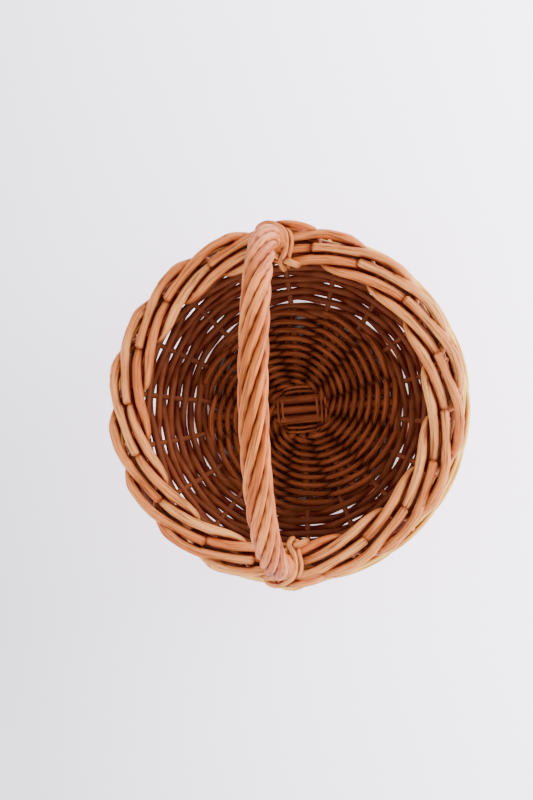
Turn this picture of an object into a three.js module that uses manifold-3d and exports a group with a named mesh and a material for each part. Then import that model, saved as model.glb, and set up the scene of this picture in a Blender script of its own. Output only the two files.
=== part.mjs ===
// A round woven willow market basket with a fixed roped handle, in millimetres, +Z up.
// The origin is on the floor under the centre of the basket, and the handle stands over the Y axis.
// Every rod is its own solid: base sticks, stakes that turn down into the border, weavers, bow and strands.
import * as THREE from "three";
import { mergeVertices } from "three/addons/utils/BufferGeometryUtils.js";
import Module from "manifold-3d";

const wasm = await Module();
wasm.setup();

// Overall shape, measured to the middle line of the wall.
const FOOT_RADIUS = 84; // where the stakes turn up from the base
const BELLY_RADIUS = 142; // widest part of the wall
const BELLY_HEIGHT = 82;
const RIM_RADIUS = 124.5; // middle of the border
const RIM_HEIGHT = 131; // centre line of the border's upper rods
const HANDLE_RISE = 148; // from the border's upper rods to the middle of the handle's top

// Rods.
const STICK_RADIUS = 3.8;
const STAKE_RADIUS = 2.75;
const BORDER_ROD_RADIUS = 3.55;
const SIDE_WEAVER_RADIUS = 2.45;
const BASE_WEAVER_RADIUS = 2.4;
const BINDER_RADIUS = 1.4;
const BOW_RADIUS = 3.8;
const STRAND_RADIUS = 3;
const LASHING_RADIUS = 1.8;
const GAP = 0.35; // left between rods that touch

// Counts.
const STAKES = 18;
const SIDE_ROWS = 22;
const STICK_ENDS = 12;
const STRANDS = 7;
const BASE_ROUNDS = 2.5; // of each of the two base weavers
const BINDER_ROUNDS = 2; // of each of the two binders

// Base layout.
const STICK_PITCH_PIERCED = 2 * STICK_RADIUS + 1.6;
const STICK_PITCH_PASSING = 2 * STICK_RADIUS + 0.6;
const PIERCED_SWELL = 3.2; // how much a pierced stick swells where the others pass through it
const BINDER_START = 18.5;
const SWELL_HALF_LENGTH = BINDER_START;
const SPREAD_START = 35; // where the sticks leave their group of three
const SPREAD_END = 46; // where they point at the centre
const BASE_WEAVE_START = 48.5;
const BASE_ROW_PITCH = 5.6;
const BUTT_START = 58; // inner end of a stake's butt in the base
const BUTT_TURN = 68; // where the butt leaves the side of its stick
const BUTT_MARGIN = 1.2; // straight run of a weaver past the middle of a butt
const PAIRED_STICK_TIP = FOOT_RADIUS - 2;
const SINGLE_STICK_TIP = BUTT_TURN + 1;
const UNDERSIDE_TRIM = 0.5; // shaved off the lowest rods so that the basket stands level

// Border: sideways places of a rod on its way round, in rod widths.
const BORDER_PITCH = 2 * BORDER_ROD_RADIUS + 0.65;
const BORDER_DROP = 2 * BORDER_ROD_RADIUS + 0.9; // from the upper rods to those crossing beneath
const BEND_RADIUS = 7;

// Handle.
const BOW_OFFSET = 1.6; // the bow stands this far outside the middle of the border
const BOW_DEPTH = 0.62; // share of the wall, from the rim down, that the bow's end reaches
const STRAND_TURNS = 2.6; // of each strand from one foot to the other
const STRAND_CLEARANCE = 1.1; // between the bow and its strands
const LASHING_TURN = 7; // degrees from the bow to the lashing
const LASHING_SLACK = 2.4; // between the lashing and the sides of the border
const ROOM_UNDER_LASHING = 1.6; // down to the top row of the wall
const STRAND_LIFT = BORDER_ROD_RADIUS + STRAND_RADIUS + 1.5; // strand ends above the upper rods

// Facets.
const UPRIGHT_STEP = 11; // between the sections of a rod that runs up the wall
const ROD_SIDES = 5;
const STICK_SIDES = 6;

const DEGREE = Math.PI / 180;
const STATION_STEP = 360 / STAKES;
const STICK_STEP = 360 / STICK_ENDS;
const STAKE_TURN = 4; // a stake stands this many degrees past each end of the bow
const FIRST_STAKE = STAKE_TURN + STATION_STEP / 2;
const SLATH_TURN = STAKE_TURN;
const BOW_ANGLES = [90, 270];

const baseWeaverReach = STICK_RADIUS + BASE_WEAVER_RADIUS + GAP;
const baseHeight = baseWeaverReach + BASE_WEAVER_RADIUS - UNDERSIDE_TRIM;
const besideStick = STICK_RADIUS + STAKE_RADIUS + 2 * GAP;

// A point given by its angle about Z, its distance from the axis and its height.
function polar(degrees, radius, height) {
  const a = degrees * DEGREE;
  return new THREE.Vector3(radius * Math.cos(a), radius * Math.sin(a), height);
}

// A rod's middle line. Its sections stand exactly at the given points.
class Line extends THREE.Curve {
  constructor(points) {
    super();
    this.points = points;
  }

  getPoint(t, target = new THREE.Vector3()) {
    const place = t * (this.points.length - 1);
    const i = Math.min(Math.floor(place), this.points.length - 2);
    return target.lerpVectors(this.points[i], this.points[i + 1], place - i);
  }

  getPointAt(t, target) {
    return this.getPoint(t, target);
  }

  getTangentAt(t, target = new THREE.Vector3()) {
    const last = this.points.length - 1;
    const i = Math.round(t * last);
    const before = this.points[Math.max(i - 1, 0)];
    const after = this.points[Math.min(i + 1, last)];
    return target.subVectors(after, before).normalize();
  }
}

function smooth(points, steps) {
  return new THREE.CatmullRomCurve3(points, false, "centripetal").getSpacedPoints(steps);
}

function rod(points, radius, sides = ROD_SIDES) {
  const corners = [];
  for (let i = 0; i < sides; i++) {
    const a = (2 * Math.PI * i) / sides;
    corners.push(new THREE.Vector2(radius * Math.cos(a), radius * Math.sin(a)));
  }
  return new THREE.ExtrudeGeometry(new THREE.Shape(corners), {
    steps: points.length - 1,
    extrudePath: new Line(points),
    bevelEnabled: false,
  });
}

function solid(geometry) {
  const bare = geometry.clone();
  bare.deleteAttribute("normal");
  bare.deleteAttribute("uv");
  const merged = mergeVertices(bare, 1e-4);
  return new wasm.Manifold(
    new wasm.Mesh({
      numProp: 3,
      vertProperties: merged.attributes.position.array,
      triVerts: new Uint32Array(merged.index.array),
    }),
  );
}

function geometryOf(manifold) {
  const mesh = manifold.getMesh();
  const geometry = new THREE.BufferGeometry();
  geometry.setAttribute("position", new THREE.BufferAttribute(mesh.vertProperties, 3));
  geometry.setIndex(new THREE.BufferAttribute(mesh.triVerts, 1));
  return geometry;
}

function joined(a, b) {
  return geometryOf(solid(a).add(solid(b)));
}

function block(minimum, maximum) {
  const size = new THREE.Vector3().subVectors(maximum, minimum);
  const centre = new THREE.Vector3().addVectors(minimum, maximum).multiplyScalar(0.5);
  return new THREE.BoxGeometry(size.x, size.y, size.z).translate(centre.x, centre.y, centre.z);
}

const basket = new THREE.Group();

function addPiece(name, geometry, colour, roughness = 0.6) {
  const material = new THREE.MeshStandardMaterial({ color: colour, roughness, metalness: 0 });
  const mesh = new THREE.Mesh(geometry, material);
  mesh.name = name;
  basket.add(mesh);
}

const PEELED = 0xdba377;
const DARK = 0x9a5c37;
const PALE = 0xe6c39a;

// The wall's middle line in a plane through the axis: x is the distance from the axis, y the height.
const NECK_HEIGHT = RIM_HEIGHT - BORDER_DROP;
const wallLine = new THREE.CurvePath();
wallLine.add(
  new THREE.CubicBezierCurve(
    new THREE.Vector2(FOOT_RADIUS, baseHeight),
    new THREE.Vector2(FOOT_RADIUS + 0.45 * (BELLY_RADIUS - FOOT_RADIUS), baseHeight + 2),
    new THREE.Vector2(BELLY_RADIUS, baseHeight + 0.4 * (BELLY_HEIGHT - baseHeight)),
    new THREE.Vector2(BELLY_RADIUS, BELLY_HEIGHT),
  ),
);
wallLine.add(
  new THREE.CubicBezierCurve(
    new THREE.Vector2(BELLY_RADIUS, BELLY_HEIGHT),
    new THREE.Vector2(BELLY_RADIUS, BELLY_HEIGHT + 0.5 * (NECK_HEIGHT - BELLY_HEIGHT)),
    new THREE.Vector2(RIM_RADIUS + 7, NECK_HEIGHT - 9),
    new THREE.Vector2(RIM_RADIUS, NECK_HEIGHT),
  ),
);
const wallLength = wallLine.getLength();

// The distance along the wall at which it reaches a height.
function alongAtHeight(height) {
  let low = 0;
  let high = wallLength;
  while (high - low > 0.001) {
    const middle = (low + high) / 2;
    if (wallLine.getPointAt(middle / wallLength).y < height) low = middle;
    else high = middle;
  }
  return low;
}

// The lashings' size, and the rows of the wall, which end below them.
const lashingHalfWidth = 1.5 * BORDER_PITCH + BORDER_ROD_RADIUS + LASHING_RADIUS + LASHING_SLACK;
const lashingHalfHeight = BORDER_DROP / 2 + BORDER_ROD_RADIUS + LASHING_RADIUS + LASHING_SLACK / 2;
const lashingBottom = RIM_HEIGHT - BORDER_DROP / 2 - lashingHalfHeight - LASHING_RADIUS;
const FIRST_ROW = 5; // along the wall from the foot
const LAST_ROW = alongAtHeight(lashingBottom - ROOM_UNDER_LASHING - SIDE_WEAVER_RADIUS);

// A point of the wall, moved outwards across the wall by offset.
function wallPoint(degrees, along, offset = 0) {
  const share = along / wallLength;
  const at = wallLine.getPointAt(share);
  const before = wallLine.getPointAt(Math.max(share - 0.01, 0));
  const after = wallLine.getPointAt(Math.min(share + 0.01, 1));
  const run = after.sub(before).normalize();
  return polar(degrees, at.x + offset * run.y, at.y - offset * run.x);
}

// How far a weaver swings to either side of the uprights it passes, so that a straight run between
// neighbours at the given spacing clears both by reach.
function swing(reach, spacing) {
  return (reach * spacing) / Math.sqrt(spacing * spacing - 4 * reach * reach);
}

// Base sticks: three are pierced, and the other three pass through them.
const stickAngle = (end) => SLATH_TURN + STICK_STEP * end;
const isPaired = (end) => end % 2 === 0; // this end holds two stakes, the others hold one

function stickGroup(end) {
  return 3 * Math.round(end / 3);
}

function stickHalf(end, sideways) {
  const axis = stickAngle(stickGroup(end));
  const across = axis + 90;
  const tip = isPaired(end) ? PAIRED_STICK_TIP : SINGLE_STICK_TIP;
  return [
    polar(axis, BINDER_START, baseHeight).add(polar(across, sideways, 0)),
    polar(axis, SPREAD_START, baseHeight).add(polar(across, sideways, 0)),
    polar(stickAngle(end), SPREAD_END, baseHeight),
    polar(stickAngle(end), tip, baseHeight),
  ];
}

function stickLine(end, pitch) {
  const sideways = (end - stickGroup(end)) * pitch;
  const far = 2 * stickGroup(end) + STICK_ENDS / 2 - end; // the same stick's other end
  const near = stickHalf(end, sideways);
  const away = stickHalf(far, -sideways);
  return smooth([...away.reverse(), ...near], 12);
}

function piercedStick(end) {
  const line = rod(stickLine(end, STICK_PITCH_PIERCED), STICK_RADIUS, STICK_SIDES);
  const sideways = (end - stickGroup(end)) * STICK_PITCH_PIERCED;
  const profile = [new THREE.Vector2(0, -SWELL_HALF_LENGTH)];
  for (let i = -4; i <= 4; i++) {
    const share = i / 4;
    const swell = PIERCED_SWELL * Math.cos((share * Math.PI) / 2);
    profile.push(new THREE.Vector2(STICK_RADIUS - 0.2 + swell, share * SWELL_HALF_LENGTH));
  }
  profile.push(new THREE.Vector2(0, SWELL_HALF_LENGTH));
  const spindle = new THREE.LatheGeometry(profile, 12).rotateZ(-90 * DEGREE);
  const half = STICK_PITCH_PIERCED / 2 - GAP / 2;
  const tall = 2 * STICK_RADIUS + PIERCED_SWELL;
  const slab = block(
    new THREE.Vector3(-SWELL_HALF_LENGTH - 1, -half, -tall),
    new THREE.Vector3(SWELL_HALF_LENGTH + 1, half, tall),
  );
  const slotX = STICK_PITCH_PASSING + STICK_RADIUS + GAP;
  const slotZ = STICK_RADIUS + GAP;
  const slot = block(
    new THREE.Vector3(-slotX, -2 * half, -slotZ),
    new THREE.Vector3(slotX, 2 * half, slotZ),
  );
  const place = (g) => g.translate(0, sideways, baseHeight).rotateZ(stickAngle(0) * DEGREE);
  const swollen = solid(place(spindle)).intersect(solid(place(slab)));
  return geometryOf(solid(line).add(swollen).subtract(solid(place(slot))));
}

["left", "middle", "right"].forEach((side, i) => {
  addPiece(`pierced_base_stick_${side}`, piercedStick(i - 1), DARK);
  const passing = rod(stickLine(i + 2, STICK_PITCH_PASSING), STICK_RADIUS, STICK_SIDES);
  addPiece(`passing_base_stick_${side}`, passing, DARK);
});

// Binders: two thin rods wound round the crossing of the sticks, one over and one under each group.
function binder(phase) {
  const points = [];
  const quarter = 90;
  const corner = STICK_PITCH_PIERCED + STICK_RADIUS + BINDER_RADIUS;
  const reach = STICK_RADIUS + BINDER_RADIUS + GAP;
  const pitch = 2 * BINDER_RADIUS + 2 * GAP;
  for (let side = 0; side < 4 * BINDER_ROUNDS; side++) {
    const out = BINDER_START + pitch * (phase + (2 * side) / 4) + BINDER_RADIUS;
    const height = baseHeight + reach * ((side + phase) % 2 === 0 ? 1 : -1);
    const axis = SLATH_TURN + quarter * side;
    for (const across of [-corner, corner])
      points.push(polar(axis, out, height).add(polar(axis + quarter, across, 0)));
  }
  return rod(points, BINDER_RADIUS);
}

addPiece("slath_binder_first", binder(0), DARK);
addPiece("slath_binder_second", binder(1), DARK);

// Where a stake's butt lies beside its stick: distance off the stick's line at a distance from the axis.
function buttOffset(radius, paired) {
  const share = THREE.MathUtils.smoothstep(radius, BUTT_TURN, FOOT_RADIUS);
  const end = paired ? FOOT_RADIUS * Math.sin((STATION_STEP / 2) * DEGREE) : 0;
  return THREE.MathUtils.lerp(besideStick, end, share);
}

// Base weavers: two rods chase each other round the sticks, over and under by turns.
function baseWeaver(phase) {
  const points = [];
  for (let i = 0; i < BASE_ROUNDS * STICK_ENDS; i++) {
    const out = BASE_WEAVE_START + BASE_ROW_PITCH * (phase + (2 * i) / STICK_ENDS);
    const rise = baseWeaverReach * ((i + phase) % 2 === 0 ? -1 : 1);
    const besideButts = out > BUTT_START - BASE_ROW_PITCH;
    const half = besideButts ? buttOffset(out, true) + BUTT_MARGIN : BASE_WEAVER_RADIUS;
    const axis = stickAngle(i);
    for (const across of [-half, half])
      points.push(polar(axis, out, baseHeight + rise).add(polar(axis + 90, across, 0)));
  }
  return rod(points, BASE_WEAVER_RADIUS);
}

const belowFloor = block(
  new THREE.Vector3(-BELLY_RADIUS, -BELLY_RADIUS, -2 * BASE_WEAVER_RADIUS),
  new THREE.Vector3(BELLY_RADIUS, BELLY_RADIUS, 0),
);
["inner", "outer"].forEach((name, phase) => {
  const trimmed = solid(baseWeaver(phase)).subtract(solid(belowFloor));
  addPiece(`base_weaver_${name}`, geometryOf(trimmed), DARK);
});

// Border: a stake bends over, slopes to the inner edge, crosses beneath to the outer edge and
// comes back over its neighbours to the middle. Each entry is stations travelled, pitches
// sideways (outwards is positive) and drops below the upper rods.
const BORDER_ROUTE = [
  [0.28, -0.2, 0],
  [0.6, -0.55, 0],
  [1, -1, 0],
  [1.35, -1.38, 0.06],
  [1.62, -1.58, 0.38],
  [1.86, -1.52, 0.82],
  [2.06, -1.0, 1],
  [2.26, 0.05, 1.02],
  [2.42, 0.95, 0.95],
  [2.56, 1.5, 0.62],
  [2.75, 1.5, 0.14],
  [3, 1.18, 0],
  [3.35, 0.78, 0],
  [3.66, 0.46, 0],
];

function borderPoint(degrees, [stations, sideways, drops]) {
  const angle = degrees + stations * STATION_STEP;
  const radius = RIM_RADIUS + sideways * BORDER_PITCH;
  return polar(angle, radius, RIM_HEIGHT - drops * BORDER_DROP);
}

function borderLine(degrees) {
  const points = [polar(degrees, RIM_RADIUS, NECK_HEIGHT)];
  const bend = BEND_RADIUS / RIM_RADIUS / DEGREE;
  points.push(polar(degrees, RIM_RADIUS, RIM_HEIGHT - BEND_RADIUS));
  points.push(polar(degrees + 0.3 * bend, RIM_RADIUS, RIM_HEIGHT - 0.3 * BEND_RADIUS));
  for (const entry of BORDER_ROUTE) points.push(borderPoint(degrees, entry));
  return points;
}

function stakeLine(index) {
  const degrees = FIRST_STAKE + STATION_STEP * index;
  const end = Math.round((degrees - SLATH_TURN) / STICK_STEP);
  const axis = stickAngle(end);
  const paired = isPaired(end);
  const side = paired ? Math.sign(degrees - axis) : 1;
  const points = [];
  for (const along of [BUTT_START, BUTT_TURN, (BUTT_TURN + FOOT_RADIUS) / 2])
    points.push(
      polar(axis, along, baseHeight).add(polar(axis + 90, side * buttOffset(along, paired), 0)),
    );
  const steps = Math.round(wallLength / UPRIGHT_STEP);
  for (let i = 0; i <= steps; i++) points.push(wallPoint(degrees, (wallLength * i) / steps));
  return { degrees, points };
}

for (let i = 0; i < STAKES; i++) {
  const { degrees, points } = stakeLine(i);
  const upright = rod(points, STAKE_RADIUS);
  const turned = rod(borderLine(degrees), BORDER_ROD_RADIUS, ROD_SIDES);
  addPiece(`stake_${String(i + 1).padStart(2, "0")}`, joined(upright, turned), PEELED);
}

// Side weavers: each row is one rod that passes in front of one stake and behind the next, and
// passes each end of the bow on the same side as the stake next to it.
const rowPitch = (LAST_ROW - FIRST_ROW) / (SIDE_ROWS - 1);
const bowBottom = wallLength * (1 - BOW_DEPTH);

function sideWeaver(row) {
  const along = FIRST_ROW + rowPitch * row;
  const radius = wallLine.getPointAt(along / wallLength).x;
  const stakeReach = STAKE_RADIUS + SIDE_WEAVER_RADIUS + GAP;
  const stakeSwing = swing(stakeReach, radius * STATION_STEP * DEGREE);
  const bowSwing = BOW_RADIUS + SIDE_WEAVER_RADIUS + 2 * GAP;
  const start = FIRST_STAKE + STATION_STEP * row;
  const points = [];
  const joint = (0.5 * SIDE_WEAVER_RADIUS) / radius / DEGREE; // half the slit between its ends
  const middle = start - STATION_STEP / 2;
  points.push(wallPoint(middle + joint, along));
  for (let i = 0; i < STAKES; i++) {
    const degrees = start + STATION_STEP * i;
    const side = i % 2 === 0 ? 1 : -1;
    const bow = BOW_ANGLES.includes((degrees - STAKE_TURN) % 360);
    if (bow && along > bowBottom - BOW_RADIUS - SIDE_WEAVER_RADIUS)
      points.push(wallPoint(degrees - STAKE_TURN, along, BOW_OFFSET + side * bowSwing));
    points.push(wallPoint(degrees, along, side * stakeSwing));
  }
  points.push(wallPoint(middle - joint + 360, along));
  return rod(points, SIDE_WEAVER_RADIUS);
}

for (let row = 0; row < SIDE_ROWS; row++) {
  const name = `side_weaver_${String(row + 1).padStart(2, "0")}`;
  addPiece(name, sideWeaver(row), row < 3 ? DARK : PALE);
}

// Handle: a stout bow whose ends go down beside two stakes, with strands laid round it.
const archHalf = RIM_RADIUS + BOW_OFFSET;

function archPoint(share) {
  const a = share * Math.PI;
  return new THREE.Vector3(
    0,
    archHalf * Math.cos(a),
    RIM_HEIGHT + STRAND_LIFT + (HANDLE_RISE - STRAND_LIFT) * Math.sin(a),
  );
}

function bowLine() {
  const legs = BOW_ANGLES.map((degrees) => {
    const points = [];
    const steps = Math.round((wallLength - bowBottom) / UPRIGHT_STEP);
    for (let i = 0; i < steps; i++) {
      const along = bowBottom + ((wallLength - bowBottom) * i) / steps;
      points.push(wallPoint(degrees, along, BOW_OFFSET));
    }
    points.push(polar(degrees, archHalf, NECK_HEIGHT));
    return points;
  });
  const arch = [];
  const steps = 24;
  for (let i = 0; i <= steps; i++) arch.push(archPoint(i / steps));
  return [...legs[0], ...arch, ...legs[1].reverse()];
}

addPiece("handle_bow", rod(bowLine(), BOW_RADIUS), PEELED);

function strand(index) {
  const steps = 36;
  const ring = BOW_RADIUS + STRAND_RADIUS + STRAND_CLEARANCE;
  const across = new THREE.Vector3(1, 0, 0);
  const points = [];
  for (let i = 0; i <= steps; i++) {
    const share = i / steps;
    const at = archPoint(share);
    const run = archPoint(Math.min(share + 0.01, 1)).sub(archPoint(Math.max(share - 0.01, 0)));
    const below = across.clone().cross(run.normalize());
    const turn = 2 * Math.PI * (index / STRANDS - STRAND_TURNS * share);
    at.addScaledVector(across, ring * Math.cos(turn));
    points.push(at.addScaledVector(below, ring * Math.sin(turn)));
  }
  return rod(points, STRAND_RADIUS);
}

for (let i = 0; i < STRANDS; i++) addPiece(`handle_strand_${i + 1}`, strand(i), PEELED);

// Lashings: at each foot of the handle a thin rod is tied round the whole border.
function lashing(degrees) {
  const points = [];
  const steps = 20;
  const joint = 0.02; // share of a turn left open between its ends
  for (let i = 0; i <= steps; i++) {
    const a = 2 * Math.PI * (joint / 2 + ((1 - joint) * i) / steps);
    const squared = (v) => Math.sign(v) * Math.sqrt(Math.abs(v));
    const out = RIM_RADIUS + lashingHalfWidth * squared(Math.sin(a));
    const height = RIM_HEIGHT - BORDER_DROP / 2 - lashingHalfHeight * squared(Math.cos(a));
    points.push(polar(degrees, out, height));
  }
  return rod(points, LASHING_RADIUS);
}

addPiece("handle_lashing_back", lashing(BOW_ANGLES[0] - LASHING_TURN), PEELED);
addPiece("handle_lashing_front", lashing(BOW_ANGLES[1] + LASHING_TURN), PEELED);

export default basket;
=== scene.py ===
"""A round woven willow market basket with a fixed roped handle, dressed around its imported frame.

Every visible rod is a swept willow rod of its own: sticks and pairing in the base, stakes that
rise up the wall and turn down into the border, rows of side weavers, and the handle's strands.
"""

import logging
import math
import random
from dataclasses import dataclass, field
from enum import Enum

import bpy
from mathutils import Matrix, Vector


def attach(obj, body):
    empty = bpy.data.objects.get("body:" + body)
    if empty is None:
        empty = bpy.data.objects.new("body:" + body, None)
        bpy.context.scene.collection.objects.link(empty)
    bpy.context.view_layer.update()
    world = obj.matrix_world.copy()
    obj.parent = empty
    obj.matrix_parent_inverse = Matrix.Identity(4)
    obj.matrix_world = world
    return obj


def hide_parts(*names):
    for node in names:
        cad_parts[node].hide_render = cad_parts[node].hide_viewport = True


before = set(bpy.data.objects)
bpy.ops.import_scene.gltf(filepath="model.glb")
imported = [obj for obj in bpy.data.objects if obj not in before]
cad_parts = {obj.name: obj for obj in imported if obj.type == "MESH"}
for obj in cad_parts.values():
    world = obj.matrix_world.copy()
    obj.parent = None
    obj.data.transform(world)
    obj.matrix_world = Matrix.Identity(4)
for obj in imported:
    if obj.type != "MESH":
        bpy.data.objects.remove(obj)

LOG = logging.getLogger("basket")
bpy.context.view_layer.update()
MM = 0.001
# How close two distances are that count as the same, in metres.
NEARLY = 1e-9
# The share of a line to either side over which its direction is measured.
GLANCE = 0.01

Path = list[Vector]
Triple = tuple[float, float, float]
Band = tuple[float, float]
Socket = bpy.types.NodeSocket


def polar(degrees: float, radius: float, height: float) -> Vector:
    """Gives the point at an angle about Z, a distance from the axis and a height."""
    angle = math.radians(degrees)
    return Vector((radius * math.cos(angle), radius * math.sin(angle), height))


def mix(a: float, b: float, share: float) -> float:
    """Gives the value that lies a share of the way from a to b."""
    return a + (b - a) * share


def ease(low: float, high: float, value: float) -> float:
    """Gives 0 below low, 1 above high, and a smooth rise between."""
    share = min(max((value - low) / (high - low), 0.0), 1.0)
    return share * share * (3.0 - 2.0 * share)


def opaque(colour: Triple, depth: float = 1.0) -> tuple[float, ...]:
    """Gives a colour, made darker by its depth, with a full alpha."""
    return (*(depth * channel for channel in colour), 1.0)


def smooth_line(points: Path, step: float) -> Path:
    """Draws a smooth line through points.

    Args:
        points: The points that the line passes through.
        step: The distance between the line's own points, in metres.

    Returns:
        Evenly spaced points on the line.
    """
    ends = [points[0] * 2 - points[1], *points, points[-1] * 2 - points[-2]]
    finer = 0.4 * step
    fine: Path = []
    for a, b, c, d in zip(ends, ends[1:], ends[2:], ends[3:]):
        pieces = max(2, round((c - b).length / finer))
        for i in range(pieces):
            t = i / pieces
            fine.append(
                0.5 * ((2 * b) + (c - a) * t + (2 * a - 5 * b + 4 * c - d) * t**2
                       + (3 * b - a - 3 * c + d) * t**3)
            )
    fine.append(points[-1].copy())
    return evenly(fine, step)


def taut_line(points: Path, step: float, bend: float) -> Path:
    """Draws a line that runs straight between points and rounds each corner.

    Args:
        points: The corners.
        step: The distance between the line's own points, in metres.
        bend: How far a corner's rounding reaches to either side, in metres.

    Returns:
        Evenly spaced points on the line.
    """
    line = evenly(points, step)
    reach = max(1, round(bend / step / 2))
    for _ in range(2):
        spans = [min(reach, i, len(line) - 1 - i) for i in range(len(line))]
        line = [
            sum(line[i - near:i + near + 1], Vector()) / (2 * near + 1)
            for i, near in enumerate(spans)
        ]
    return line


def evenly(points: Path, step: float) -> Path:
    """Spaces points evenly along a line of straight pieces, keeping both of its ends.

    Args:
        points: The line's corners.
        step: About how far apart the new points lie, in metres.

    Returns:
        The new points.
    """
    length = sum((b - a).length for a, b in zip(points, points[1:]))
    count = max(2, round(length / step))
    gap = length / count
    spaced, travelled, due = [points[0].copy()], 0.0, gap
    for a, b in zip(points, points[1:]):
        run = (b - a).length
        while run > 0 and travelled + run >= due - NEARLY and len(spaced) < count:
            spaced.append(a.lerp(b, (due - travelled) / run))
            due += gap
        travelled += run
    spaced.append(points[-1].copy())
    return spaced


@dataclass
class Rod:
    """One willow rod: its middle line, its half thickness along it, and its shade, 0 to 1."""

    line: Path
    girths: list[float]
    shade: float

    # A rounded end: shares of the cap's length out from the end, and of the girth there.
    CAP = ((0.97, 0.30), (0.78, 0.62), (0.45, 0.88))
    CAP_LENGTH = 0.6

    @classmethod
    def of(cls, line: Path, girth: float, shade: float, tip: float | None = None) -> "Rod":
        """Makes a rod with rounded ends that tapers evenly from girth to tip.

        Args:
            line: The rod's middle line, from its butt to its tip.
            girth: Half the thickness at the butt.
            shade: The rod's own shade, from 0, pale, to 1, brown.
            tip: Half the thickness at the tip, or None for no taper.

        Returns:
            The rod.
        """
        tip = girth if tip is None else tip
        count = len(line) - 1
        girths = [mix(girth, tip, i / count) for i in range(len(line))]
        return cls(line, girths, shade).rounded()

    def rounded(self) -> "Rod":
        """Rounds both ends off with a few closely spaced points.

        Returns:
            The rod itself.
        """
        for last in (False, True):
            line = self.line[::-1] if last else self.line
            girths = self.girths[::-1] if last else self.girths
            end, girth = line[0], girths[0]
            out = (line[0] - line[1]).normalized()
            line = [end + out * girth * self.CAP_LENGTH * along for along, _ in self.CAP] + line
            girths = [girth * wide for _, wide in self.CAP] + girths
            self.line = line[::-1] if last else line
            self.girths = girths[::-1] if last else girths
        return self


class Nodes:
    """A node tree under construction, with short calls for its nodes and links."""

    def __init__(self, tree: bpy.types.NodeTree) -> None:
        """Takes the tree that the nodes go into."""
        self.tree = tree

    def fill(self, node: bpy.types.Node, inputs: dict) -> None:
        """Sets a node's inputs.

        Args:
            node: The node.
            inputs: A value, or an output to link, for each input by its name or number.
        """
        for key, value in inputs.items():
            if isinstance(value, Socket):
                self.tree.links.new(value, node.inputs[key])
            else:
                node.inputs[key].default_value = value

    def add(self, kind: str, inputs: dict | None = None, **settings: object) -> bpy.types.Node:
        """Adds a node.

        Args:
            kind: The node's type name.
            inputs: A value, or an output to link, for each input by its name or number.
            **settings: The node's own settings.

        Returns:
            The node.
        """
        node = self.tree.nodes.new(kind)
        for key, value in settings.items():
            setattr(node, key, value)
        self.fill(node, inputs or {})
        return node

    def math(self, operation: str, a: object, b: object = 0.0, clamp: bool = False) -> Socket:
        """Adds one step of arithmetic and gives its result."""
        node = self.add("ShaderNodeMath", {0: a, 1: b}, operation=operation, use_clamp=clamp)
        return node.outputs[0]

    def vector(self, operation: str, a: object, b: object) -> Socket:
        """Adds one step of vector arithmetic.

        Args:
            operation: The operation's name.
            a: The first vector.
            b: The second vector, or the number to scale by.

        Returns:
            The result, which is a number for DOT_PRODUCT.
        """
        second = "Scale" if operation == "SCALE" else 1
        node = self.add("ShaderNodeVectorMath", {0: a, second: b}, operation=operation)
        return node.outputs["Value" if operation == "DOT_PRODUCT" else "Vector"]

    def join(self, x: object = 0.0, y: object = 0.0, z: object = 0.0) -> Socket:
        """Puts three numbers together as a vector."""
        return self.add("ShaderNodeCombineXYZ", {0: x, 1: y, 2: z}).outputs["Vector"]

    def part(self, vector: Socket, axis: str) -> Socket:
        """Takes one number out of a vector."""
        return self.add("ShaderNodeSeparateXYZ", {"Vector": vector}).outputs[axis]

    def noise(self, place: Socket, detail: float, roughness: float = 0.5) -> bpy.types.Node:
        """Adds a cloudy pattern."""
        inputs = {"Vector": place, "Scale": 1.0, "Detail": detail, "Roughness": roughness}
        return self.add("ShaderNodeTexNoise", inputs)

    def rise(self, value: Socket, band: Band, least: float = 0.0, most: float = 1.0) -> Socket:
        """Turns a value into one that goes from least to most across a band, and no further."""
        inputs = {"Value": value, "From Min": band[0], "From Max": band[1],
                  "To Min": least, "To Max": most}
        return self.add("ShaderNodeMapRange", inputs, clamp=True).outputs["Result"]


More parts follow.
